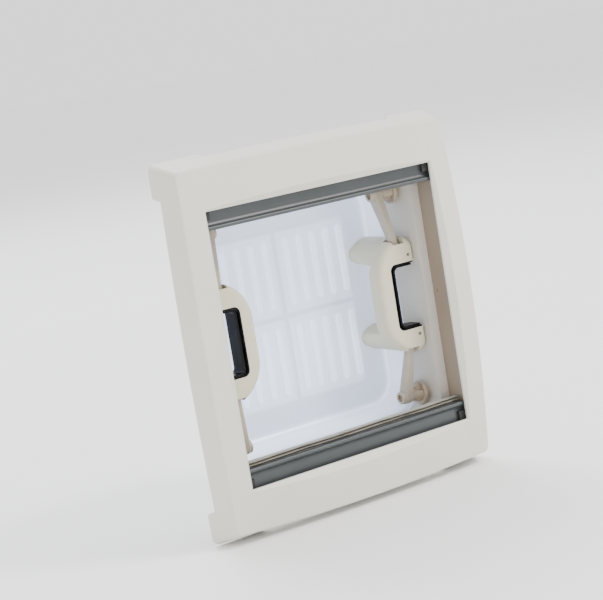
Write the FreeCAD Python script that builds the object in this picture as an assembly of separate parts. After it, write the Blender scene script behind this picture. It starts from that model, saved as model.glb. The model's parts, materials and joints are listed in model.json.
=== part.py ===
import FreeCAD, Part
import math
import os

# Roof window for a camper, seen and measured from the room side.
# X runs to the right, Z runs up, and Y runs outward, from the room to the sky.
# The origin is the centre of the roof opening, on the outer skin of the roof.
# Most sizes along Y are given as a depth, counted outward from the lip of the opening.

V = FreeCAD.Vector
OUT = V(0, 1, 0)
RIGHT = V(1, 0, 0)
UP = V(0, 0, 1)

# Driving sizes, in millimetres.
OPENING = 360.0            # clear opening, both ways
ROOF = 25.0                # thickness of the roof that is clamped
FRAME_DEPTH = 45.0         # from the lip of the opening to the ceiling
LIFT = 55.0                # travel of the dome from shut to open

# Sizes that follow the opening.
HALF = OPENING / 2
FACE_HALF_X = HALF + 30.0  # half width of the front face at its corners
FACE_HALF_Z = HALF + 51.8  # half height of the front face at its corners
BACK_HALF_X = HALF + 45.5  # half width of the skirt at the ceiling
BACK_HALF_Z = HALF + 68.0  # half height of the skirt at the ceiling
THROAT = OPENING - 18.0    # clear width of the throat, both ways
THROAT_HALF = THROAT / 2

# Walls and fits.
WALL = 3.0
THIN_WALL = 2.5
RUN_FIT = 0.05             # radial gap of a pin that turns in its hole
SLIDE_FIT = 0.35           # gap round a part that slides
SEAT_GAP = 0.15            # gap between two mouldings that sit side by side

# Front face.
CROWN_X = 8.0              # how far the face bulges across its width
CROWN_Z = 8.8              # how far it bulges over its height
CORNER_DROP = 3.6          # how far its corners lie behind the lip
FACE_BOW_X = 9.6           # bow of the left and right edges of the face
FACE_BOW_Z = 7.5           # bow of the top and bottom edges of the face
BACK_BOW_X = 2.5
BACK_BOW_Z = 3.0
FACE_EDGE_R = 3.5
BEVEL = 9.0                # width of the bevel round the opening
FOOT_HEIGHT = 13.0         # air gap between the skirt and the ceiling
FOOT_Z = HALF + 26.0       # where the side feet begin
FOOT_X = HALF - 28.0       # where the top and bottom feet begin
SEAM_BACK_X = HALF - 25.0  # where the seam of the side rail meets the ceiling

# Blinds.
GUIDE_X = HALF + 6.0       # inner face of the side guides
GUIDE_WALL = 4.0
BAR_LIP_Z = HALF - 25.0    # inner edge of a blind bar at rest
BAR_BACK_Z = HALF + 4.0    # outer edge of a blind bar at rest
BAR_FRONT = 4.5            # depth of its front
BAR_BACK = 12.5            # depth of its back
PLEAT_FRONT = 13.2
SCREEN_OVER = -2.0         # how far the folded screen stands past the lip of its bar
BLACKOUT_OVER = 6.5        # how far the folded blackout cloth does
PLEAT_BACK = 34.0
PLEAT_OUTER_Z = HALF + 18.0
BAR_HALF = HALF + 1.0      # half length of a bar without its caps

# Outer frame and dome.
LEDGE_DEPTH = 41.0         # where the throat ends toward the room
SPIGOT_HALF = THROAT_HALF + 17.0
THROAT_R = 22.0
SPIGOT_R = THROAT_R + 12.0
SEAL_THICK = 2.0
FLANGE_DEPTH = FRAME_DEPTH + ROOF + SEAL_THICK
FLANGE_HALF = SPIGOT_HALF + 10.0
FLANGE_THICK = 3.5
STEP_DEPTH = 84.0          # where the outer wall of the throat steps inward
UPSTAND_HALF = THROAT_HALF + 10.5
THROAT_END = 100.0         # where the throat ends toward the sky
SEAL_TOP = 105.0
DOME_RIM_HALF = UPSTAND_HALF + 5.0
DOME_EDGE = 97.0           # free edge of the outer skin, below the top of the throat
DOME_LEAN = 0.533          # how far its sides lean inward for each millimetre outward
DOME_FLOOR = 138.0         # inner skin of the dome
DOME_TOP = DOME_FLOOR + 15.0   # outer skin of the dome at its centre
TUB_TOP = THROAT_HALF - 1.0
TUB_FLOOR = THROAT_HALF - 14.0
RIB_PITCH = 23.0
RIB_FIRST_X = 17.5         # middle of the first rib of a field
RIB_FIRST_Z = 14.0         # its end nearest the middle
RIB_WIDTH = 9.5
RIB_LENGTH = 94.0
RIB_HEIGHT = 2.6
RIBS_PER_QUARTER = 5
PANEL_STEP = 1.0           # how far the ribbed fields stand off the floor
PANEL_SLOPE = 7.0          # width of the slope round them
GROOVE_HALF = 3.5          # half width of the grooves between them
CROWN_RADIUS = 4000.0      # of the sky side of the dome

# Arms, with X counted from the wall of the throat toward the middle.
HUB_Z = THROAT_HALF - 27.0
HUB_DEPTH = 77.0
HUB_R = 9.0
SPINDLE_R = 4.0
PIN_Z = HUB_Z - 79.5       # the pin while the dome is shut
PIN_DEPTH = 60.0
PIN_R = 2.5
PIN_PLAY = 0.6             # room of the pin in its slot, each way along Y
ARM_STEP = 0.718           # degrees that an arm turns for each millimetre of lift
ARM_ROOT_R = 9.8
ARM_TIP_R = 4.8
ARM_LEFT = (THROAT_HALF - 40.0, THROAT_HALF - 30.0)    # its left face at the hub and at the pin
ARM_RIGHT = (THROAT_HALF - 27.5, THROAT_HALF - 21.0)   # its right face at the hub and at the pin
BARREL_X0 = THROAT_HALF - 43.5
BARREL_X1 = THROAT_HALF - 25.0
CAP_DEEP = 3.0             # how deep the washer lies in the barrel
DISC_X0 = THROAT_HALF - 11.0
DISC_R = 17.0
DISC_THICK = 4.5
PEDESTAL_R = 11.5          # between the disc and the wall

# Handles.
GRIP_X0 = THROAT_HALF - 67.5   # face of the grip toward the middle
GRIP_X1 = GRIP_X0 + 21.1   # face of the grip toward the fingers
EAR_X1 = THROAT_HALF - 1.2 # free end of the ears
EAR_Z = PIN_Z - 18.0       # inner face of the ears
EAR_TOP_Z = PIN_Z + 17.0
HANDLE_FRONT = 49.0
HANDLE_BACK = 77.0
INNER_R = 9.0              # inner corners of the U
FOOT_MID_X = THROAT_HALF - 32.5
FOOT_MID_Z = PIN_Z - 2.5
LEVER_TRAVEL = 3.0
LINER = 1.9
SPRING_Z = 20.0
POCKET = (57.0, 69.0)      # depths of the springs' pockets in the grip
POCKET_HALF = 6.0
HOLLOW_TOP = 75.0          # depth to which the arm's slot is cut in the ears


def y_at(depth):
    return depth - FRAME_DEPTH - ROOF


def box(x0, x1, d0, d1, z0, z1):
    return Part.makeBox(x1 - x0, d1 - d0, z1 - z0, V(x0, y_at(d0), z0))


def rod(radius, x0, x1, depth, z):
    return Part.makeCylinder(radius, x1 - x0, V(x0, y_at(depth), z), RIGHT)


def post(radius, d0, d1, x, z):
    return Part.makeCylinder(radius, d1 - d0, V(x, y_at(d0), z), OUT)


def mirror_x(shape):
    return shape.mirror(V(0, 0, 0), RIGHT)


def mirror_z(shape):
    return shape.mirror(V(0, 0, 0), UP)


def joined(shapes):
    result = shapes[0]
    for shape in shapes[1:]:
        result = result.fuse(shape)
    return result.removeSplitter()


def rect_wire(cx, cz, half_x, half_z, radius, depth, bow_x=0.0, bow_z=0.0):
    """A rounded rectangle across the Y axis, whose sides may bow outward."""
    y = y_at(depth)
    r = radius
    k = r * (1 - math.sqrt(0.5))
    corners = []
    for sx, sz in ((1, 1), (-1, 1), (-1, -1), (1, -1)):
        on_x = V(cx + sx * half_x, y, cz + sz * (half_z - r))
        on_z = V(cx + sx * (half_x - r), y, cz + sz * half_z)
        middle = V(cx + sx * (half_x - k), y, cz + sz * (half_z - k))
        corners.append((on_x, middle, on_z) if sx * sz > 0 else (on_z, middle, on_x))
    bows = [V(0, 0, bow_z), V(-bow_x, 0, 0), V(0, 0, -bow_z), V(bow_x, 0, 0)]
    edges = []
    for i, (start, middle, end) in enumerate(corners):
        after = corners[(i + 1) % 4][0]
        edges.append(Part.Arc(start, middle, end).toShape())
        if bows[i].Length > 0:
            top = (end + after) * 0.5 + bows[i]
            edges.append(Part.Arc(end, top, after).toShape())
        else:
            edges.append(Part.makeLine(end, after))
    return Part.Wire(edges)


def taper(wire_a, wire_b):
    return Part.makeLoft([wire_a, wire_b], True, True)


def block(cx, cz, half_x, half_z, radius, d0, d1):
    """A rounded rectangular prism along Y."""
    face = Part.Face(rect_wire(cx, cz, half_x, half_z, radius, d0))
    return face.extrude(V(0, d1 - d0, 0))


def ring(half_out, r_out, half_in, r_in, d0, d1):
    """A square ring with rounded corners."""
    outer = block(0, 0, half_out, half_out, r_out, d0, d1)
    return outer.cut(block(0, 0, half_in, half_in, r_in, d0 - 1, d1 + 1))


def flat_shape(points, axis, start, length):
    """A prism along X, Y or Z from points in the plane across it."""
    place = {
        "x": lambda a, b: V(start, y_at(a), b),
        "y": lambda a, b: V(a, y_at(start), b),
        "z": lambda a, b: V(a, y_at(b), start),
    }[axis]
    run = {"x": V(length, 0, 0), "y": V(0, length, 0), "z": V(0, 0, length)}[axis]
    wire = Part.makePolygon([place(a, b) for a, b in points + points[:1]])
    return Part.Face(wire).extrude(run)


def soften(shape, radius, wanted):
    """Rounds every edge that the test picks, or leaves the shape as it is."""
    edges = [e for e in shape.Edges if wanted(e)]
    for r in (radius, radius * 0.75, radius * 0.5):
        try:
            rounded = shape.makeFillet(r, edges)
        except Part.OCCError:
            continue
        if rounded.isValid() and rounded.Volume > 0:
            return rounded
    return shape


def depth_range(edge):
    b = edge.BoundBox
    return b.YMin + FRAME_DEPTH + ROOF, b.YMax + FRAME_DEPTH + ROOF


def screw(head_r, head_h, shank_r, length, recess_r):
    """A pan head screw that points along +Y from the origin, with a round driver recess."""
    head = Part.makeCylinder(head_r, head_h, V(0, -head_h, 0), OUT)
    head = soften(head, head_h * 0.45, lambda e: e.BoundBox.YMax < -head_h + 0.01)
    shank = Part.makeCylinder(shank_r, length - shank_r, V(0, 0, 0), OUT)
    tip = Part.makeCone(shank_r, shank_r * 0.3, shank_r, V(0, length - shank_r, 0), OUT)
    body = joined([head, shank, tip])
    bar = Part.makeBox(recess_r * 2, head_h * 0.6, recess_r * 0.5, V(-recess_r, -head_h, -recess_r * 0.25))
    cross = bar.fuse(bar.rotated(V(0, 0, 0), OUT, 90))
    return body.cut(cross)


def crowned(inset):
    """Everything behind the doubly crowned face, moved back by the inset."""
    top = -(CROWN_X + CROWN_Z - CORNER_DROP) + inset
    side = HALF + 60
    edge = top + CROWN_X * (side / FACE_HALF_X) ** 2
    back = FRAME_DEPTH + 30
    arc = Part.Arc(V(-side, y_at(edge), 0), V(0, y_at(top), 0), V(side, y_at(edge), 0)).toShape()
    a, b = V(side, y_at(back), 0), V(-side, y_at(back), 0)
    wire = Part.Wire([arc, Part.makeLine(V(side, y_at(edge), 0), a), Part.makeLine(a, b),
                      Part.makeLine(b, V(-side, y_at(edge), 0))])
    radius = FACE_HALF_Z ** 2 / (2 * CROWN_Z) + CROWN_Z / 2
    centre = V(0, y_at(top) + radius, 0)
    sweep = 2 * math.degrees(math.asin((BACK_HALF_Z + 30) / radius))
    face = Part.Face(wire).rotated(centre, RIGHT, -sweep / 2)
    return face.revolve(centre, RIGHT, sweep)


def frame_body(inset):
    """The inner frame's outer form, or its hollow when it is inset."""
    front = rect_wire(0, 0, FACE_HALF_X - 2.2 - inset, FACE_HALF_Z - 2.2 - inset, 9 - inset, -12,
                      FACE_BOW_X, FACE_BOW_Z)
    back = rect_wire(0, 0, BACK_HALF_X - inset, BACK_HALF_Z - inset, 10 - inset, FRAME_DEPTH,
                     BACK_BOW_X, BACK_BOW_Z)
    return taper(front, back).common(crowned(inset))


def inner_frame():
    """Both mouldings of the inner frame as one, before the seam is cut."""
    half = OPENING / 2
    body = soften(frame_body(0), FACE_EDGE_R, lambda e: depth_range(e)[1] < 6)
    lip_ring = 12.0
    hollow = frame_body(WALL).cut(block(0, 0, half + lip_ring, half + lip_ring, 4, -20, FRAME_DEPTH + 1))
    under_lip = block(0, 0, half + lip_ring + 1, half + lip_ring + 1, 5, WALL, FRAME_DEPTH + 1)
    shell = body.cut(hollow).cut(under_lip)
    bevel_top = 12.0
    widen = BEVEL / 7.0 * bevel_top
    bevel = taper(rect_wire(0, 0, half + widen, half + widen, 3, -bevel_top),
                  rect_wire(0, 0, half, half, 1.2, 0))
    shell = shell.cut(bevel).cut(block(0, 0, half, half, 1.2, -1, WALL + 1))
    ribs = []
    behind_guide = GUIDE_X + GUIDE_WALL + SEAT_GAP
    behind_cassette = PLEAT_OUTER_Z + 4 + SEAT_GAP
    for step in (-2, -1, 0, 1, 2):
        z = step * HALF * 0.42
        x = step * HALF * 0.44
        for side in (1, -1):
            across = sorted((side * behind_guide, side * BACK_HALF_X * 1.1))
            along = sorted((side * behind_cassette, side * BACK_HALF_Z * 1.1))
            ribs.append(box(across[0], across[1], 0, 30, z - 1.2, z + 1.2))
            ribs.append(box(x - 1.2, x + 1.2, 0, 30, along[0], along[1]))
    for side in (1, -1):
        bounds = sorted((side * behind_guide, side * (GUIDE_X + 18)))
        boss = box(bounds[0], bounds[1], 0, 39, -7, 7)
        ribs.append(boss.cut(rod(1.8, bounds[0] - 1, bounds[1] + 1, 32, 0)))
    inside = frame_body(WALL * 0.5)
    shell = joined([shell] + [r.common(inside) for r in ribs])
    for shape in air_gaps():
        shell = shell.cut(shape)
    return shell


def air_gaps():
    """The cuts in the skirt that let air in between the feet."""
    top = FRAME_DEPTH - FOOT_HEIGHT
    slant = 5.0
    side = flat_shape([(top, -FOOT_Z + slant), (top, FOOT_Z - slant), (FRAME_DEPTH + 1, FOOT_Z),
                       (FRAME_DEPTH + 1, -FOOT_Z)], "x", HALF + 16, 60)
    end = flat_shape([(-FOOT_X + slant, top), (FOOT_X - slant, top), (FOOT_X, FRAME_DEPTH + 1),
                      (-FOOT_X, FRAME_DEPTH + 1)], "z", HALF + 26, 60)
    return side, mirror_x(side), end, mirror_z(end)


def side_rail_zone(gap):
    """The space of the separate right rail, whose seam runs slantwise down the skirt."""
    x = OPENING / 2 + gap
    return flat_shape([(x, -30), (x, 0), (SEAM_BACK_X + gap, FRAME_DEPTH), (SEAM_BACK_X + gap, 60),
                       (HALF + 120, 60), (HALF + 120, -30)], "z", -HALF - 120, OPENING + 240)


def guide():
    """Right side guide: it closes the rail's inner side and carries the bars in a groove."""
    wall = box(GUIDE_X, GUIDE_X + GUIDE_WALL, WALL + SEAT_GAP, LEDGE_DEPTH, -HALF - 19, HALF + 19)
    groove = box(GUIDE_X - 1, GUIDE_X + 2.2, BAR_FRONT + 0.5, BAR_FRONT + 4, -HALF - 20, HALF + 20)
    hole = rod(2.1, GUIDE_X - 1, GUIDE_X + 10, 32, 0)
    sink = Part.makeCone(4.2, 2.1, 2.1, V(GUIDE_X, y_at(32), 0), RIGHT)
    return soften(wall, 0.6, lambda e: e.BoundBox.ZLength > 300 and e.BoundBox.XMax < GUIDE_X + 1
                  ).cut(groove).cut(hole).cut(sink)


def guide_screw():
    """The sunk screw that holds a guide to its rail."""
    head = Part.makeCone(4.1, 2.05, 2.05, V(GUIDE_X + 0.1, y_at(32), 0), RIGHT)
    shank = Part.makeCylinder(1.8, 12, V(GUIDE_X + 2, y_at(32), 0), RIGHT)
    slot = box(GUIDE_X - 1, GUIDE_X + 1.1, 31.6, 32.4, -2.2, 2.2)
    slot = slot.fuse(slot.rotated(V(0, y_at(32), 0), RIGHT, 90))
    return joined([head, shank]).cut(slot)


CLAMP_X = [THROAT_HALF * f for f in (-0.88, -0.29, 0.29, 0.88)]
CLAMP_Z = THROAT_HALF + 8.5


def cassette():
    """The upper cassette: an angle behind the rail that holds the folded pleats."""
    outer = PLEAT_OUTER_Z + 2
    half = GUIDE_X - 2
    back = box(-half, half, LEDGE_DEPTH - 1.8, LEDGE_DEPTH, THROAT_HALF + 0.5, outer + 2)
    wall = box(-half, half, WALL + SEAT_GAP, LEDGE_DEPTH, outer, outer + 2)
    shape = joined([back, wall])
    for x in CLAMP_X:
        shape = shape.cut(post(2.2, 30, 50, x, CLAMP_Z))
    return shape


def clamp_screws():
    """The upper row of screws that pull the inner frame against the outer one."""
    one = screw(4.0, 2.6, 2.0, 13, 1.9)
    return Part.makeCompound([one.translated(V(x, y_at(LEDGE_DEPTH - 1.8), CLAMP_Z)) for x in CLAMP_X])


def bar():
    """Upper blind bar: a rounded grip lip and a hollow channel behind it."""
    y0 = y_at(BAR_FRONT)
    z0 = BAR_LIP_Z
    back = y_at(BAR_BACK)
    web = back - 2.0
    points = [V(0, back, z0), V(0, y0 + 1.8, z0), V(0, y0, z0 + 2.2), V(0, y0 + 0.6, z0 + 4.6)]
    edges = [
        Part.makeLine(points[0], points[1]),
        Part.Arc(points[1], V(0, y0 + 0.35, z0 + 0.7), points[2]).toShape(),
        Part.Arc(points[2], V(0, y0 + 0.05, z0 + 3.6), points[3]).toShape(),
        Part.Arc(points[3], V(0, web - 1.7, z0 + 7.2), V(0, web, z0 + 13)).toShape(),
        Part.makeLine(V(0, web, z0 + 13), V(0, web, BAR_BACK_Z)),
        Part.makeLine(V(0, web, BAR_BACK_Z), V(0, back, BAR_BACK_Z)),
        Part.makeLine(V(0, back, BAR_BACK_Z), points[0]),
    ]
    profile = Part.Face(Part.Wire(edges)).translated(V(-BAR_HALF, 0, 0))
    rail = profile.extrude(V(2 * BAR_HALF, 0, 0))
    flange = box(-BAR_HALF, BAR_HALF, BAR_FRONT + 1.5, BAR_BACK, BAR_BACK_Z - 1.8, BAR_BACK_Z)
    return joined([rail, flange])


def bar_cap():
    """Right end cap of the upper bar, with the tongue that runs in the guide."""
    end = BAR_HALF + 3.5
    plate = box(BAR_HALF + 0.05, end, BAR_FRONT + 0.1, BAR_BACK, BAR_LIP_Z + 0.4, BAR_BACK_Z - 0.2)
    plug = box(BAR_HALF - 9.5, BAR_HALF + 0.5, BAR_FRONT + 1.6, BAR_BACK - 2.1,
               BAR_LIP_Z + 13.2, BAR_BACK_Z - 1.9)
    tongue = box(end - 0.5, GUIDE_X + 1.9, BAR_FRONT + 0.5 + SLIDE_FIT, BAR_FRONT + 4 - SLIDE_FIT,
                 BAR_LIP_Z + 3, BAR_BACK_Z - 3)
    plate = soften(plate, 0.8, lambda e: e.BoundBox.XMin > end - 0.1)
    return joined([plate, plug, tongue])


def pleats(over):
    """A folded stack behind the upper bar, as the plain block that it fills."""
    return box(-GUIDE_X + 3, GUIDE_X - 3, PLEAT_FRONT, PLEAT_BACK, BAR_LIP_Z - over, PLEAT_OUTER_Z)


def outer_frame():
    """Throat, spigot and roof flange in one moulding, hollow between its walls."""
    upper_r = SPIGOT_R - (SPIGOT_HALF - UPSTAND_HALF)
    inside = THROAT_HALF + WALL + 0.5
    body = joined([ring(SPIGOT_HALF, SPIGOT_R, THROAT_HALF, THROAT_R, LEDGE_DEPTH, STEP_DEPTH),
                   ring(UPSTAND_HALF, upper_r, THROAT_HALF, THROAT_R, STEP_DEPTH, THROAT_END)])
    inside_r = THROAT_R + WALL
    start = LEDGE_DEPTH + 4
    wide = ring(SPIGOT_HALF - WALL, SPIGOT_R - WALL, inside, inside_r, start, STEP_DEPTH - WALL)
    narrow = ring(UPSTAND_HALF - WALL, upper_r - WALL, inside, inside_r, start, THROAT_END + 1)
    flange_end = FLANGE_DEPTH + FLANGE_THICK
    flange = ring(FLANGE_HALF, SPIGOT_R + 10, SPIGOT_HALF - 1, SPIGOT_R - 1, FLANGE_DEPTH, flange_end)
    flange = soften(flange, 1.5, lambda e: depth_range(e)[0] > flange_end - 0.1
                    and max(abs(e.CenterOfMass.x), abs(e.CenterOfMass.z)) > SPIGOT_HALF + 5)
    webs = []
    for s in (-2 * HALF / 3, -HALF / 4.5, HALF / 4.5, 2 * HALF / 3):
        web = box(s - 1.2, s + 1.2, FLANGE_DEPTH, THROAT_END - 6, UPSTAND_HALF - 1, SPIGOT_HALF + 8)
        slope = flat_shape([(FLANGE_DEPTH + 8, SPIGOT_HALF + 8.1), (THROAT_END - 5, SPIGOT_HALF + 8.1),
                            (THROAT_END - 5, UPSTAND_HALF + 1)], "x", s - 2, 4)
        web = web.cut(slope)
        for angle in (0, 90, 180, 270):
            webs.append(web.rotated(V(0, 0, 0), OUT, angle))
    boss_end = LEDGE_DEPTH + 15
    bosses = [post(4.6, LEDGE_DEPTH + 1, boss_end, x, z) for x in CLAMP_X for z in (CLAMP_Z, -CLAMP_Z)]
    shape = joined([body.cut(wide).cut(narrow), flange] + webs + bosses)
    for x in CLAMP_X:
        for z in (CLAMP_Z, -CLAMP_Z):
            shape = shape.cut(post(2.0, LEDGE_DEPTH - 1, boss_end - 2, x, z))
    for z in (HUB_Z, -HUB_Z):
        hole = rod(3.1, THROAT_HALF - 1, THROAT_HALF + 9, HUB_DEPTH, z)
        shape = shape.cut(hole).cut(mirror_x(hole))
    return shape


def roof_seal():
    """The foam ring under the flange."""
    return ring(FLANGE_HALF - 1.5, SPIGOT_R + 8.5, SPIGOT_HALF + 2, SPIGOT_R + 2,
                FLANGE_DEPTH - SEAL_THICK, FLANGE_DEPTH)


def dome_seal():
    """The bulb seal along the top of the throat."""
    low = ring(UPSTAND_HALF - 1.5, 26, THROAT_HALF + 1, THROAT_R + 1, THROAT_END, THROAT_END + 2)
    bulb = ring(UPSTAND_HALF - 2.5, 30, THROAT_HALF + 4.5, THROAT_R + 4, THROAT_END + 1, SEAL_TOP)
    bulb = soften(bulb, 1.6, lambda e: depth_range(e)[0] > SEAL_TOP - 0.1)
    return joined([low, bulb])


def tub_form(grow, top, floor, corner):
    """The inner skin's form: its hollow, or its outside when it is grown by the wall."""
    rim = rect_wire(0, 0, TUB_TOP + grow, TUB_TOP + grow, 30, top)
    base = rect_wire(0, 0, TUB_FLOOR + grow, TUB_FLOOR + grow, 40, floor)
    return soften(taper(rim, base), corner, lambda e: depth_range(e)[0] > floor - 0.1)


def dome_inner():
    """Inner skin of the dome: a shallow tub with stiffening ribs in four fields."""
    rim = SEAL_TOP + 0.2
    t = THIN_WALL
    flat = DOME_RIM_HALF - DOME_LEAN * (rim + t - DOME_EDGE) - t - 0.3
    plate = block(0, 0, flat, flat, 33, rim, rim + t)
    tub = tub_form(t, rim, DOME_FLOOR + t, 14)
    shape = joined([plate, tub]).cut(tub_form(0, rim - 1, DOME_FLOOR, 12))
    panel_x = RIBS_PER_QUARTER * RIB_PITCH
    panel_z = RIB_FIRST_Z + RIB_LENGTH + 8
    raised = DOME_FLOOR - PANEL_STEP
    panel = taper(rect_wire(0, 0, panel_x, panel_z, 8, raised),
                  rect_wire(0, 0, panel_x + PANEL_SLOPE, panel_z + PANEL_SLOPE, 9, DOME_FLOOR + 0.5))
    upright = box(-GROOVE_HALF, GROOVE_HALF, 0, 200, -HALF, HALF)
    cross = upright.fuse(box(-HALF, HALF, 0, 200, -GROOVE_HALF, GROOVE_HALF))
    pieces = [shape, panel.cut(cross)]
    rib_top = raised - RIB_HEIGHT
    for sx in (1, -1):
        for sz in (1, -1):
            for i in range(RIBS_PER_QUARTER):
                x = sx * (RIB_FIRST_X + i * RIB_PITCH)
                z = sz * (RIB_FIRST_Z + RIB_LENGTH / 2)
                half = RIB_WIDTH / 2
                rib = block(x, z, half, RIB_LENGTH / 2, half - 0.1, rib_top, DOME_FLOOR + 0.5)
                pieces.append(soften(rib, 2.0, lambda e: depth_range(e)[1] < rib_top + 0.1))
    shape = joined(pieces)
    for x in (FOOT_MID_X, -FOOT_MID_X):
        for z in (FOOT_MID_Z, -FOOT_MID_Z):
            shape = shape.cut(post(2.6, DOME_FLOOR - 1, DOME_FLOOR + 5, x, z))
    return shape


def dome_form(inset):
    """Outer form of the dome, or its hollow when it is inset."""
    high = DOME_TOP + 7
    top_half = DOME_RIM_HALF - DOME_LEAN * (high - DOME_EDGE)
    sides = taper(rect_wire(0, 0, DOME_RIM_HALF - inset, DOME_RIM_HALF - inset, 31 - inset, DOME_EDGE),
                  rect_wire(0, 0, top_half - inset, top_half - inset, 40 - inset, high))
    ball = Part.makeSphere(CROWN_RADIUS, V(0, y_at(DOME_TOP - inset) - CROWN_RADIUS, 0))
    form = sides.common(ball)
    return soften(form, 14 - inset, lambda e: depth_range(e)[0] > DOME_FLOOR)


def dome_outer():
    """Outer skin of the dome with the drip edge that hangs past the seal."""
    return dome_form(0).cut(dome_form(THIN_WALL))


def arm_bracket():
    """Upper right bracket on the throat wall, with the spindle that the arm turns on."""
    disc = rod(DISC_R, DISC_X0, DISC_X0 + DISC_THICK, HUB_DEPTH, HUB_Z)
    disc = soften(disc, 2.0, lambda e: e.BoundBox.XMax < DISC_X0 + 0.1)
    disc = disc.fuse(rod(PEDESTAL_R, DISC_X0 + 1, THROAT_HALF, HUB_DEPTH, HUB_Z))
    disc = disc.common(block(0, 0, THROAT_HALF, THROAT_HALF, THROAT_R, LEDGE_DEPTH, THROAT_END))
    foot = BARREL_X1 + 0.4
    boss = Part.makeCone(HUB_R, 12.0, DISC_X0 + 0.5 - foot, V(foot, y_at(HUB_DEPTH), HUB_Z), RIGHT)
    end = BARREL_X0 + CAP_DEEP + 1.8
    spindle = rod(SPINDLE_R, end, foot + 1, HUB_DEPTH, HUB_Z)
    stub = rod(3.0, THROAT_HALF - 1, THROAT_HALF + 3.4, HUB_DEPTH, HUB_Z)
    shape = joined([disc, boss, spindle, stub])
    window = box(DISC_X0 - 8, DISC_X0 + 1, HUB_DEPTH - 12.5, HUB_DEPTH - 5.5, HUB_Z - 14, HUB_Z - 5)
    bore = rod(1.7, end - 1, end + 12, HUB_DEPTH, HUB_Z)
    return shape.cut(window).cut(bore)


def arm_cap():
    """Upper right retaining washer, sunk in the end of the arm's barrel."""
    x1 = BARREL_X0 + CAP_DEEP + 1.8
    head = rod(5.2, x1 - 1.8, x1, HUB_DEPTH, HUB_Z)
    head = soften(head, 0.6, lambda e: e.BoundBox.XMax < x1 - 1.7)
    plug = rod(1.65, x1 - 0.5, x1 + 9, HUB_DEPTH, HUB_Z)
    sink = rod(2.6, x1 - 2, x1 - 0.9, HUB_DEPTH, HUB_Z)
    return joined([head, plug]).cut(sink)


def tangent_blade(root_r, tip_r, left, right):
    """The blade that wraps the hub circle and the pin circle, between two slanted faces.

    Each face is a pair: its X at the hub and its X at the pin."""
    dy = PIN_DEPTH - HUB_DEPTH
    dz = PIN_Z - HUB_Z
    span = math.hypot(dy, dz)
    base = math.atan2(dz, dy)
    lean = math.acos((root_r - tip_r) / span)
    points = []
    for centre, r, signs in (((HUB_DEPTH, HUB_Z), root_r, (1, -1)), ((PIN_DEPTH, PIN_Z), tip_r, (-1, 1))):
        for sign in signs:
            angle = base + sign * lean
            points.append((centre[0] + r * math.cos(angle), centre[1] + r * math.sin(angle)))
    x0, x1 = THROAT_HALF - 60, THROAT_HALF
    body = joined([flat_shape(points, "x", x0, x1 - x0), rod(root_r, x0, x1, HUB_DEPTH, HUB_Z),
                   rod(tip_r, x0, x1, PIN_DEPTH, PIN_Z)])

    def x_at(face, z):
        return face[0] + (face[1] - face[0]) * (HUB_Z - z) / (HUB_Z - PIN_Z)

    ends = (HUB_Z + 20, PIN_Z - 20)
    between = flat_shape([(x_at(left, ends[0]), ends[0]), (x_at(left, ends[1]), ends[1]),
                          (x_at(right, ends[1]), ends[1]), (x_at(right, ends[0]), ends[0])], "y", 20, 100)
    return body.common(between)


def arm():
    """Upper right arm: hub barrel, tapered blade and the pin that runs in the handle."""
    blade = tangent_blade(ARM_ROOT_R, ARM_TIP_R, ARM_LEFT, ARM_RIGHT)

    def on_left(edge):
        c = edge.CenterOfMass
        x = ARM_LEFT[0] + (ARM_LEFT[1] - ARM_LEFT[0]) * (HUB_Z - c.z) / (HUB_Z - PIN_Z)
        return abs(c.x - x) < 0.8

    blade = soften(blade, 3.6, on_left)
    inner_left = [x + 5 for x in ARM_LEFT]
    beyond = [x + 9 for x in ARM_RIGHT]
    trough = tangent_blade(ARM_ROOT_R - 2.6, ARM_TIP_R - 2.0, inner_left, beyond)
    keep = joined([rod(HUB_R + 0.5, BARREL_X0, BARREL_X1, HUB_DEPTH, HUB_Z),
                   rod(ARM_TIP_R - 1, ARM_LEFT[1], ARM_RIGHT[1], PIN_DEPTH, PIN_Z)])
    barrel = rod(HUB_R, BARREL_X0, BARREL_X1, HUB_DEPTH, HUB_Z)
    barrel = soften(barrel, 1.0, lambda e: e.BoundBox.XMax < BARREL_X0 + 0.1)
    pin = rod(PIN_R, ARM_LEFT[1] - 5.4, ARM_RIGHT[1] + 5.4, PIN_DEPTH, PIN_Z)
    shape = joined([blade.cut(trough.cut(keep)), barrel, pin])
    recess = rod(5.4, BARREL_X0 - 1, BARREL_X0 + CAP_DEEP + 2.0, HUB_DEPTH, HUB_Z)
    return shape.cut(rod(SPINDLE_R + RUN_FIT, BARREL_X0 - 1, BARREL_X1 + 1, HUB_DEPTH, HUB_Z)).cut(recess)


def pin_heights():
    """Lowest and highest Z of the upper pin over the whole lift."""
    length = math.hypot(HUB_DEPTH - PIN_DEPTH, HUB_Z - PIN_Z)
    start = math.atan2(HUB_DEPTH - PIN_DEPTH, HUB_Z - PIN_Z)
    end = math.radians(ARM_STEP * LIFT) - start
    return HUB_Z - length, HUB_Z - length * math.cos(end)


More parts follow.
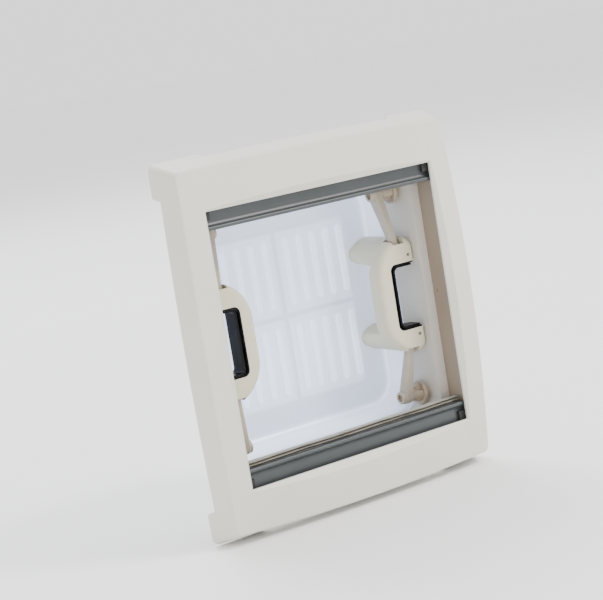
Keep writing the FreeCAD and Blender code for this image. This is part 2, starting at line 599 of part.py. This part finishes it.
def handle_outline(depth):
    """Front outline of the right handle: a U that opens toward the side wall."""
    y = y_at(depth)

    def line(a, b):
        return Part.makeLine(V(a[0], y, a[1]), V(b[0], y, b[1]))

    def arc(a, middle, b):
        return Part.Arc(V(a[0], y, a[1]), V(middle[0], y, middle[1]), V(b[0], y, b[1])).toShape()

    k = INNER_R * (1 - math.sqrt(0.5))
    low_z = EAR_TOP_Z - 12.5
    shoulder = (GRIP_X0, 26)
    elbow = (GRIP_X0 + 20, low_z)
    top = (GRIP_X0 + 48, EAR_TOP_Z)
    ear_end = (EAR_X1, EAR_TOP_Z - 18)
    ear_foot = (EAR_X1, EAR_Z)
    corner_a = (GRIP_X1 + INNER_R, EAR_Z)
    corner_b = (GRIP_X1, EAR_Z - INNER_R)
    half = [
        line((GRIP_X0, 0), shoulder),
        arc(shoulder, (GRIP_X0 + 6.2, 52), elbow),
        arc(elbow, (GRIP_X0 + 32.5, low_z + 8), top),
        arc(top, (EAR_X1 - 4.2, EAR_TOP_Z - 6), ear_end),
        line(ear_end, ear_foot),
        line(ear_foot, corner_a),
        arc(corner_a, (GRIP_X1 + k, EAR_Z - k), corner_b),
        line(corner_b, (GRIP_X1, 0)),
    ]
    other = [mirror_z(e) for e in half]
    return Part.Wire(Part.__sortEdges__(half + other))


def finger_gap(grow, d0, d1):
    """The space inside the U of the right handle."""
    gap = box(GRIP_X1 - grow, EAR_X1 + 5, d0, d1, -EAR_Z - grow, EAR_Z + grow)
    near_grip = GRIP_X1 - grow + 0.1
    return soften(gap, INNER_R + grow, lambda e: e.BoundBox.YLength > 1 and e.BoundBox.XMax < near_grip)


def handle_foot():
    """Upper foot: it runs from the ear's own outline to a base on the dome like half an ellipse."""
    depth = 62.0
    y = y_at(depth)
    outline = Part.Face(handle_outline(depth).makeOffset2D(-0.35))
    corners = [V(GRIP_X0 - 9, y, EAR_Z + 0.6), V(EAR_X1 + 9, y, EAR_Z + 0.6),
               V(EAR_X1 + 9, y, EAR_TOP_Z + 9), V(GRIP_X0 - 9, y, EAR_TOP_Z + 9)]
    zone = Part.Face(Part.makePolygon(corners + corners[:1]))
    start = outline.common(zone).Faces[0].OuterWire
    right = FOOT_MID_X + 19
    corners = [(right, 19.0), (FOOT_MID_X - 9, 9.5), (FOOT_MID_X - 9.5, -13.0), (right, -18.5)]
    bulges = [(FOOT_MID_X + 4.5, 17.0), (FOOT_MID_X - 17, -2.5), (FOOT_MID_X + 3, -18.0)]

    def on_floor(x, z):
        return V(x, y_at(DOME_FLOOR), FOOT_MID_Z + z)

    edges = [Part.Arc(on_floor(*a), on_floor(*b), on_floor(*c)).toShape()
             for a, b, c in zip(corners, bulges, corners[1:])]
    edges.append(Part.makeLine(on_floor(*corners[-1]), on_floor(*corners[0])))
    return taper(start, Part.Wire(edges))


def handle_body():
    """Right handle: grip, ears and the two feet that flare down to the dome."""
    front = Part.Face(handle_outline(HANDLE_FRONT)).extrude(V(0, HANDLE_BACK - HANDLE_FRONT, 0))

    def rim(edge, depth):
        d0, d1 = depth_range(edge)
        c = edge.CenterOfMass
        inner = c.x > GRIP_X1 - 0.5 and abs(c.z) < EAR_Z + 0.5
        return abs(d0 - depth) < 0.01 and abs(d1 - depth) < 0.01 and not inner

    front = soften(front, 9.0, lambda e: rim(e, HANDLE_FRONT))
    front = soften(front, 6.0, lambda e: rim(e, HANDLE_BACK))
    foot = handle_foot().common(tub_form(0, SEAL_TOP - 60, DOME_FLOOR, 12))
    shape = joined([front, foot, mirror_z(foot)]).cut(finger_gap(0, HANDLE_BACK - 20, HANDLE_BACK + 0.01))
    lowest, highest = pin_heights()
    hollow_x0, hollow_x1 = ARM_LEFT[1] - 4.5, ARM_RIGHT[1] + 4.0
    play = PIN_R + PIN_PLAY
    beyond = EAR_TOP_Z + 20
    hollow_end = DOME_FLOOR - 24
    cuts = [
        box(hollow_x0, hollow_x1, HANDLE_FRONT + THIN_WALL, HOLLOW_TOP, EAR_Z + 3.5, beyond),
        box(hollow_x0, hollow_x1, HANDLE_FRONT - 1, HANDLE_FRONT + 5, PIN_Z + 8.5, beyond),
        box(hollow_x0 - 1.4, hollow_x1 + 2, PIN_DEPTH - play, PIN_DEPTH + play, lowest - play, highest + play),
        post(2.5, HANDLE_FRONT - 1, HANDLE_FRONT + 14, EAR_X1 - 11.5, EAR_Z + 9.5),
        box(GRIP_X0 + 8.5, GRIP_X1 + 5.4, *POCKET, SPRING_Z - POCKET_HALF, SPRING_Z + POCKET_HALF),
        post(2.4, hollow_end + 4, DOME_FLOOR + 1, FOOT_MID_X, FOOT_MID_Z),
        taper(rect_wire(FOOT_MID_X + 3, PIN_Z - 0.5, 13, 9, 8.8, HOLLOW_TOP - 1),
              rect_wire(FOOT_MID_X + 2.5, FOOT_MID_Z - 1, 11, 9, 8.8, hollow_end)),
    ]
    for shape_cut in cuts:
        shape = shape.cut(shape_cut).cut(mirror_z(shape_cut))
    return shape


def u_band(x0, thick, z_out, x_end, d0, d1):
    """A U of even thickness that opens toward +X."""
    outer = box(x0, x_end, d0, d1, -z_out, z_out)
    outer = soften(outer, 8.0, lambda e: e.BoundBox.YLength > 1 and e.BoundBox.XMax < x0 + 0.1)
    inner = box(x0 + thick, x_end + 1, d0 - 1, d1 + 1, -z_out + thick, z_out - thick)
    inner = soften(inner, 6.0, lambda e: e.BoundBox.YLength > 1 and e.BoundBox.XMax < x0 + thick + 0.1)
    return outer.cut(inner)


def handle_liner():
    """Fixed liner of the right handle's finger gap."""
    d0, d1 = HANDLE_FRONT + 0.5, HANDLE_BACK - 1
    shape = finger_gap(0, d0, d1).cut(finger_gap(-LINER, d0 - 1, d1 + 1))
    shape = shape.common(box(0, EAR_X1 - 5.5, d0, d1, -EAR_Z - 1, EAR_Z + 1))
    half = POCKET_HALF - 0.2
    for side in (1, -1):
        z = side * SPRING_Z
        window = box(GRIP_X1 - 1, GRIP_X1 + 3, POCKET[0] + 0.2, POCKET[1] - 0.2, z - half, z + half)
        shape = shape.cut(window)
    return shape


def handle_lever():
    """Right squeeze lever: it moves toward the grip and is pushed back by two springs."""
    x0 = GRIP_X1 + LINER + LEVER_TRAVEL + 0.2
    z_out = EAR_Z - LINER - 0.6
    band = u_band(x0, 2.8, z_out, EAR_X1 - 8, HANDLE_FRONT + 1.5, HANDLE_BACK - 2)
    band = soften(band, 9.0, lambda e: e.BoundBox.ZLength > 2 and e.BoundBox.XMin > EAR_X1 - 8.1
                  and depth_range(e)[0] > HANDLE_BACK - 2.1)
    pieces = [band]
    half = POCKET_HALF - 0.8
    for side in (1, -1):
        z = side * SPRING_Z
        pieces.append(box(GRIP_X1 - 4.6, x0 + 1, POCKET[0] + 0.8, POCKET[1] - 0.8, z - half, z + half))
    return joined(pieces)


def coil(radius, wire, length, turns):
    """A pressure spring along +X from the origin, ground flat at both ends."""
    pitch = (length - wire) / turns
    helix = Part.makeHelix(pitch, length - wire, radius)
    profile = Part.Wire([Part.makeCircle(wire / 2, V(radius, 0, 0), V(0, 1, 0))])
    body = Part.Wire(helix.Edges).makePipeShell([profile], True, True)
    body = body.translated(V(0, 0, wire / 2))
    return body.rotated(V(0, 0, 0), V(0, 1, 0), 90)


def lever_spring(side):
    """The pressure spring between the grip's pocket and the lever's plunger."""
    seat = GRIP_X0 + 8.5
    length = GRIP_X1 - 4.6 - seat
    return coil(3.4, 0.8, length - 0.2, 4).translated(V(seat + 0.1, y_at(sum(POCKET) / 2), side * SPRING_Z))


def handle_screws():
    """The two screws that hold the right handle, put in from the dome's cavity."""
    one = screw(4.5, 2.6, 2.3, 20, 2.0).rotated(V(0, 0, 0), UP, 180)
    y = y_at(DOME_FLOOR + THIN_WALL)
    return Part.makeCompound([one.translated(V(FOOT_MID_X, y, side * FOOT_MID_Z)) for side in (1, -1)])


def build():
    parts = {}
    whole = inner_frame()
    parts["frame_main"] = whole.cut(side_rail_zone(-SEAT_GAP / 2))
    parts["frame_side_rail"] = whole.common(side_rail_zone(SEAT_GAP / 2))
    parts["guide_right"] = guide()
    parts["guide_left"] = mirror_x(guide())
    parts["guide_screw_right"] = guide_screw()
    parts["guide_screw_left"] = mirror_x(guide_screw())
    parts["cassette_top"] = cassette()
    parts["cassette_bottom"] = mirror_z(cassette())
    parts["clamp_screws_top"] = clamp_screws()
    parts["clamp_screws_bottom"] = mirror_z(clamp_screws())
    parts["outer_frame"] = outer_frame()
    parts["roof_seal"] = roof_seal()
    parts["dome_seal"] = dome_seal()
    parts["screen_bar"] = bar()
    parts["screen_cap_right"] = bar_cap()
    parts["screen_cap_left"] = mirror_x(bar_cap())
    parts["screen_pleats"] = pleats(SCREEN_OVER)
    parts["blackout_bar"] = mirror_z(bar())
    parts["blackout_cap_right"] = mirror_z(bar_cap())
    parts["blackout_cap_left"] = mirror_z(mirror_x(bar_cap()))
    parts["blackout_pleats"] = mirror_z(pleats(BLACKOUT_OVER))
    parts["dome_inner"] = dome_inner()
    parts["dome_outer"] = dome_outer()
    sided = {
        "handle": handle_body(),
        "liner": handle_liner(),
        "lever": handle_lever(),
        "lever_spring_upper": lever_spring(1),
        "lever_spring_lower": lever_spring(-1),
        "handle_screws": handle_screws(),
    }
    for name, shape in sided.items():
        parts[name + "_right"] = shape
        parts[name + "_left"] = mirror_x(shape)
    cornered = {"arm_bracket": arm_bracket(), "arm_cap": arm_cap(), "arm": arm()}
    for name, shape in cornered.items():
        parts[name + "_upper_right"] = shape
        parts[name + "_upper_left"] = mirror_x(shape)
        parts[name + "_lower_right"] = mirror_z(shape)
        parts[name + "_lower_left"] = mirror_z(mirror_x(shape))
    return parts


os.makedirs("parts", exist_ok=True)
for node, shape in build().items():
    shape.exportStep("parts/" + node + ".step")
    b = shape.BoundBox
    print(node, "valid" if shape.isValid() else "INVALID", len(shape.Solids), round(shape.Volume / 1000.0, 2),
          [round(v, 1) for v in (b.XMin, b.XMax, b.YMin, b.YMax, b.ZMin, b.ZMax)])
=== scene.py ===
import json
import math

import bmesh
import bpy
from mathutils import Matrix, Vector


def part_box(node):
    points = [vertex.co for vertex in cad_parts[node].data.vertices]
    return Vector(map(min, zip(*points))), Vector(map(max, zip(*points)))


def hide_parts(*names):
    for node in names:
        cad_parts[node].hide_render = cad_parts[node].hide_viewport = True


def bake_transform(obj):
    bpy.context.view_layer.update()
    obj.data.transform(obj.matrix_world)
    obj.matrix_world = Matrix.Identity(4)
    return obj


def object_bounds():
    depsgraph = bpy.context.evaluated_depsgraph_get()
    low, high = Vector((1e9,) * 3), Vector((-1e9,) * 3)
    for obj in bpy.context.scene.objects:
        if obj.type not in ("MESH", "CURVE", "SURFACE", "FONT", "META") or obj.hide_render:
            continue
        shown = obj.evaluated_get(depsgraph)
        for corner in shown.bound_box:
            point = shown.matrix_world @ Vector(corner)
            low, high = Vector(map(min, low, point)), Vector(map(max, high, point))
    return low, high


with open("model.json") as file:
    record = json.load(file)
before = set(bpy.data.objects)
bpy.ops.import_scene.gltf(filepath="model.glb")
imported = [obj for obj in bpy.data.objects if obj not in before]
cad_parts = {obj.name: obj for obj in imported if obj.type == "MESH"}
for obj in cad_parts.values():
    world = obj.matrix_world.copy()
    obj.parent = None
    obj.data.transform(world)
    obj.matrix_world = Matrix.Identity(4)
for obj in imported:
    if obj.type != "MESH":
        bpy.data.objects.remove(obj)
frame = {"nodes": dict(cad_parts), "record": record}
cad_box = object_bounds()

MM = 0.001

# The dome's inner skin glows by its depth, from its rim to the back of its floor: painted light, with
# painted highlights on the rib crests and painted shade near the rim, on the floor and in the grooves.
DOME_RIM_Y = 0.035
DOME_BACK_Y = 0.0705
PAINTED_LIGHT_BY_DEPTH = (                # share of the way from rim to back, share of the full glow
    (0.0, 0.4),
    (0.3, 0.62),
    (0.80, 0.66),
    (0.845, 1.0),                # crests of the ribs, painted highlight
    (0.905, 0.56),               # ribbed fields
    (0.935, 0.3),                # floor and grooves, painted shade
)

# Pleated blinds.
CLOTH_THICK = 0.35 * MM
FOLDS = 13
STEPS_PER_FOLD = 8
COLUMNS = 24
FOLD_SHARPNESS = 0.96            # 1 gives sharp folds
RIPPLES = ((0.35 * MM, 17, 0.9), (0.25 * MM, 41, 2.3))   # height, turns along X, shift from row to row


# ---- materials -------------------------------------------------------------

class Graph:
    """A material's node tree, with short calls to add and join its nodes."""

    def __init__(self, name, **shader):
        self.material = bpy.data.materials.new(name)
        self.material.use_nodes = True
        self.tree = self.material.node_tree
        self.shader = self.tree.nodes["Principled BSDF"]
        for socket, value in shader.items():
            self.shader.inputs[socket.replace("_", " ")].default_value = value
        self.place = self.add("ShaderNodeTexCoord").outputs["Object"]

    def add(self, kind, **settings):
        node = self.tree.nodes.new(kind)
        for key, value in settings.items():
            setattr(node, key, value)
        return node

    def join(self, out, into):
        self.tree.links.new(out, into)

    def stretched(self, scale):
        node = self.add("ShaderNodeMapping")
        node.inputs["Scale"].default_value = scale
        self.join(self.place, node.inputs["Vector"])
        return node.outputs["Vector"]

    def noise(self, scale, detail=3.0, rough=0.5, vector=None):
        node = self.add("ShaderNodeTexNoise")
        node.inputs["Scale"].default_value = scale
        node.inputs["Detail"].default_value = detail
        node.inputs["Roughness"].default_value = rough
        self.join(vector or self.place, node.inputs["Vector"])
        return node.outputs["Fac"]

    def wave(self, scale, direction, distortion=0.0):
        node = self.add("ShaderNodeTexWave", wave_type="BANDS", bands_direction=direction)
        node.inputs["Scale"].default_value = scale
        node.inputs["Distortion"].default_value = distortion
        self.join(self.place, node.inputs["Vector"])
        return node.outputs["Fac"]

    def ramp(self, fac, *stops):
        node = self.add("ShaderNodeValToRGB")
        elements = node.color_ramp.elements
        while len(elements) < len(stops):
            elements.new(0.5)
        for element, (position, colour) in zip(elements, stops):
            element.position = position
            element.color = (*colour, 1.0) if len(colour) == 3 else colour
        self.join(fac, node.inputs["Fac"])
        return node.outputs["Color"]

    def spread(self, fac, low, high):
        node = self.add("ShaderNodeMapRange")
        node.inputs["To Min"].default_value = low
        node.inputs["To Max"].default_value = high
        self.join(fac, node.inputs["Value"])
        return node.outputs["Result"]

    def sum(self, a, b, operation="ADD"):
        node = self.add("ShaderNodeMath", operation=operation)
        self.join(a, node.inputs[0])
        self.join(b, node.inputs[1])
        return node.outputs["Value"]

    def colour(self, out):
        self.join(out, self.shader.inputs["Base Color"])

    def roughness(self, out):
        self.join(out, self.shader.inputs["Roughness"])

    def bump(self, height, distance, strength=1.0):
        node = self.add("ShaderNodeBump")
        node.inputs["Strength"].default_value = strength
        node.inputs["Distance"].default_value = distance
        self.join(height, node.inputs["Height"])
        self.join(node.outputs["Normal"], self.shader.inputs["Normal"])


def shade(colour, factor):
    return tuple(min(1.0, c * factor) for c in colour)


def moulded_plastic(name, colour, rough, grain, relief, **shader):
    """Injection moulded plastic: fine spark grain, slow colour drift and a slightly uneven gloss."""
    g = Graph(name, **shader)
    g.colour(g.ramp(g.noise(9.0, 2.0), (0.3, shade(colour, 0.965)), (0.7, shade(colour, 1.02))))
    g.roughness(g.spread(g.noise(60.0, 4.0), rough - 0.05, rough + 0.07))
    g.bump(g.noise(grain, 2.0, 0.6), relief * MM)
    return g.material


def opal_acrylic_painted_glow(name, colour, glow):
    """Opal sheet with light behind it, painted as an emission glow that follows depth, and the faint ripple
    of a blown shape.
    """
    g = Graph(name, IOR=1.49, Coat_Weight=0.3, Coat_Roughness=0.12, Emission_Strength=glow)
    g.colour(g.ramp(g.noise(6.0, 2.0), (0.3, shade(colour, 0.985)), (0.7, colour)))
    depth = g.add("ShaderNodeSeparateXYZ")
    g.join(g.place, depth.inputs["Vector"])
    share = g.add("ShaderNodeMapRange")
    share.inputs["From Min"].default_value = DOME_RIM_Y
    share.inputs["From Max"].default_value = DOME_BACK_Y
    g.join(depth.outputs["Y"], share.inputs["Value"])
    stops = [(at, shade(colour, factor)) for at, factor in PAINTED_LIGHT_BY_DEPTH]
    # painted light: the emission colour follows depth, brightest at the rib crests and darkest on the floor
    # and grooves
    g.join(g.ramp(share.outputs["Result"], *stops), g.shader.inputs["Emission Color"])
    g.roughness(g.spread(g.noise(30.0), 0.22, 0.32))
    g.bump(g.noise(22.0, 1.0), 0.25 * MM)
    return g.material


def powder_coat(name, colour):
    """Powder coated profile with a fine orange peel."""
    g = Graph(name, Metallic=0.0, Coat_Weight=0.15, Coat_Roughness=0.3)
    g.colour(g.ramp(g.noise(14.0, 3.0), (0.3, shade(colour, 0.9)), (0.7, shade(colour, 1.12))))
    g.roughness(g.spread(g.noise(80.0, 3.0), 0.34, 0.46))
    g.bump(g.noise(1500.0, 1.0), 0.03 * MM)
    return g.material


def woven(name, light, dark, thread, sheen):
    """Pleated cloth with a plain weave in uneven tones."""
    g = Graph(name, Sheen_Weight=sheen, Sheen_Roughness=0.6)
    warp = g.wave(thread, "X")
    weft = g.wave(thread, "Z")
    cross = g.sum(warp, weft, "MULTIPLY")
    tone = g.sum(g.noise(40.0, 4.0), cross)
    g.colour(g.ramp(tone, (0.25, dark), (1.0, light)))
    g.roughness(g.spread(g.noise(120.0), 0.75, 0.95))
    g.bump(cross, 0.08 * MM)
    return g.material


def zinc_steel(name, colour):
    """Zinc plated steel with a drawn grain."""
    g = Graph(name, Metallic=1.0)
    brushed = g.noise(300.0, 3.0, 0.6, g.stretched((1.0, 1.0, 12.0)))
    g.colour(g.ramp(brushed, (0.3, shade(colour, 0.85)), (0.7, colour)))
    g.roughness(g.spread(brushed, 0.25, 0.42))
    g.bump(brushed, 0.01 * MM)
    return g.material


def soft_rubber(name, colour, pore):
    """Matt rubber or foam with fine pores."""
    g = Graph(name)
    g.colour(g.ramp(g.noise(120.0, 4.0), (0.3, shade(colour, 0.8)), (0.7, shade(colour, 1.25))))
    g.roughness(g.spread(g.noise(200.0), 0.6, 0.8))
    g.bump(g.noise(pore, 2.0, 0.7), 0.12 * MM)
    return g.material


PLASTICS = {                     # colour, roughness, scale of the grain, height of the grain in mm, gloss
    "frame_plastic": ((0.70, 0.685, 0.61), 0.4, 1100.0, 0.018, 0.5),
    "outer_plastic": ((0.64, 0.60, 0.54), 0.45, 900.0, 0.02, 0.5),
    "bracket_plastic": ((0.43, 0.35, 0.26), 0.4, 900.0, 0.02, 0.5),
    # guide plastic: the frame's cream plastic darkened to brown, painted shade of the inner guide wall
    "guide_plastic": ((0.30, 0.235, 0.175), 0.45, 900.0, 0.02, 0.5),
    "arm_plastic": ((0.44, 0.385, 0.31), 0.42, 900.0, 0.02, 0.5),
    "handle_plastic": ((0.66, 0.61, 0.46), 0.46, 700.0, 0.05, 0.5),
    "black_plastic": ((0.004, 0.004, 0.0045), 0.4, 800.0, 0.02, 0.12),
    "cap_plastic": ((0.03, 0.03, 0.029), 0.6, 700.0, 0.03, 0.3),
}
MATERIALS = {
    # Both dome skins glow by emission: painted light for the daylight through the dome.
    "dome_acrylic": opal_acrylic_painted_glow("opal acrylic painted glow", (0.72, 0.81, 0.98), 1.35),
    "dome_shell": opal_acrylic_painted_glow("opal shell painted glow", (0.78, 0.84, 0.93), 0.1),
    "bar_metal": powder_coat("bar coat", (0.043, 0.049, 0.051)),
    "steel": zinc_steel("zinc steel", (0.62, 0.62, 0.60)),
    "foam": soft_rubber("foam tape", (0.06, 0.06, 0.062), 700.0),
    "rubber": soft_rubber("bulb rubber", (0.62, 0.62, 0.61), 1500.0),
    "screen_fabric": woven("insect mesh", (0.07, 0.07, 0.068), (0.02, 0.02, 0.02), 900.0, 0.2),
    "blackout_fabric": woven("blackout cloth", (0.36, 0.33, 0.27), (0.16, 0.145, 0.115), 700.0, 0.35),
}
for plastic, (tint, rough, grain, relief, gloss) in PLASTICS.items():
    title = plastic.replace("_", " ")
    MATERIALS[plastic] = moulded_plastic(title, tint, rough, grain, relief, Specular_IOR_Level=gloss)


def dress_cad_nodes():
    """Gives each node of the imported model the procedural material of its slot."""
    slots = {p["node"]: p["material_slot"] for p in frame["record"]["subparts"]}
    for node, obj in frame["nodes"].items():
        obj.data.materials.clear()
        obj.data.materials.append(MATERIALS[slots[node]])


# ---- pleated blinds --------------------------------------------------------

def pleated_sheet(name, node):
    """A zigzag of cloth in the space of the plain block, with rounded folds, and its length laid flat."""
    low, high = (Vector(corner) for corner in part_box(node))
    steps = FOLDS * STEPS_PER_FOLD
    mesh = bmesh.new()
    rows = []
    for i in range(steps + 1):
        t = i / steps
        phase = t * FOLDS * 2 * math.pi
        swing = math.asin(math.sin(phase) * FOLD_SHARPNESS) / (math.pi / 2) * 0.5 + 0.5
        y = low.y + CLOTH_THICK + (high.y - low.y - 2 * CLOTH_THICK) * swing
        loose = 0.0 if i in (0, steps) else 1.0
        row = []
        for j in range(COLUMNS + 1):
            u = j / COLUMNS
            ripple = sum(height * math.sin(u * turns + i * shift) for height, turns, shift in RIPPLES)
            z = low.z + (high.z - low.z) * t + ripple * loose
            row.append(mesh.verts.new((low.x + (high.x - low.x) * u, y, z)))
        rows.append(row)
    for below, above in zip(rows, rows[1:]):
        for j in range(COLUMNS):
            mesh.faces.new((below[j], below[j + 1], above[j + 1], above[j]))
    data = bpy.data.meshes.new(name)
    mesh.to_mesh(data)
    mesh.free()
    piece = bpy.data.objects.new(name, data)
    bpy.context.scene.collection.objects.link(piece)
    thick = piece.modifiers.new("cloth", "SOLIDIFY")
    thick.thickness = CLOTH_THICK
    thick.offset = 0.0
    for polygon in data.polygons:
        polygon.use_smooth = True
    middle = [data.vertices[i * (COLUMNS + 1) + COLUMNS // 2].co for i in range(steps + 1)]
    length = sum((b - a).length for a, b in zip(middle, middle[1:]))
    return piece, length


def add_blind(name, slot):
    """The cloth between the frame and a blind bar. The screen hangs from the top, the other stands below."""
    node = name + "_pleats"
    piece, length = pleated_sheet(name + "_cloth", node)
    piece.data.materials.append(MATERIALS[slot])
    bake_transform(piece)
    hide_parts(node)


# ---- stage -----------------------------------------------------------------

CAMERA_AT = Vector((-1.3072, -1.9624, 0.3819))
CAMERA_HEADING = 33.387          # degrees from +Y toward +X
CAMERA_PITCH = -8.541
CAMERA_ROLL = 9.355
FOCAL = 105.9
FLOOR_SIZE = 60.0
WORLD_STRENGTH = 1.55


def add_floor():
    bpy.ops.mesh.primitive_plane_add(size=FLOOR_SIZE, location=(0, 0, cad_box[0][2]))
    floor = bpy.context.object
    floor.name = "floor"
    g = Graph("pale floor", Roughness=0.6)
    g.colour(g.ramp(g.noise(1.5), (0.3, (0.97, 0.97, 0.97)), (0.7, (0.99, 0.99, 0.99))))
    floor.data.materials.append(g.material)


def add_light(name, at, aim, size, power, colour):
    data = bpy.data.lights.new(name, "AREA")
    data.size = size
    data.energy = power
    data.color = colour
    lamp = bpy.data.objects.new(name, data)
    lamp.location = at
    lamp.rotation_euler = (Vector(aim) - Vector(at)).to_track_quat("-Z", "Y").to_euler()
    bpy.context.scene.collection.objects.link(lamp)


def add_lights():
    world = bpy.data.worlds.new("studio")
    world.use_nodes = True
    sky = world.node_tree.nodes["Background"]
    sky.inputs["Color"].default_value = (1.0, 1.0, 1.0, 1.0)
    sky.inputs["Strength"].default_value = WORLD_STRENGTH
    bpy.context.scene.world = world
    add_light("key", (1.9, -2.4, 3.0), (0, 0, 0), 1.1, 130, (1.0, 0.985, 0.955))
    add_light("back", (0.6, 3.6, 4.2), (0, 0.6, 0), 3.0, 260, (0.94, 0.97, 1.0))


def add_camera():
    data = bpy.data.cameras.new("camera")
    data.lens = FOCAL
    data.sensor_width = 36.0
    camera = bpy.data.objects.new("camera", data)
    heading, pitch = math.radians(CAMERA_HEADING), math.radians(CAMERA_PITCH)
    turn = (Matrix.Rotation(-heading, 4, "Z") @ Matrix.Rotation(math.pi / 2 + pitch, 4, "X")
            @ Matrix.Rotation(-math.radians(CAMERA_ROLL), 4, "Z"))
    camera.matrix_world = Matrix.Translation(CAMERA_AT) @ turn
    bpy.context.scene.collection.objects.link(camera)
    bpy.context.scene.camera = camera


dress_cad_nodes()
add_blind("screen", "screen_fabric")
add_blind("blackout", "blackout_fabric")
add_floor()
add_lights()
add_camera()
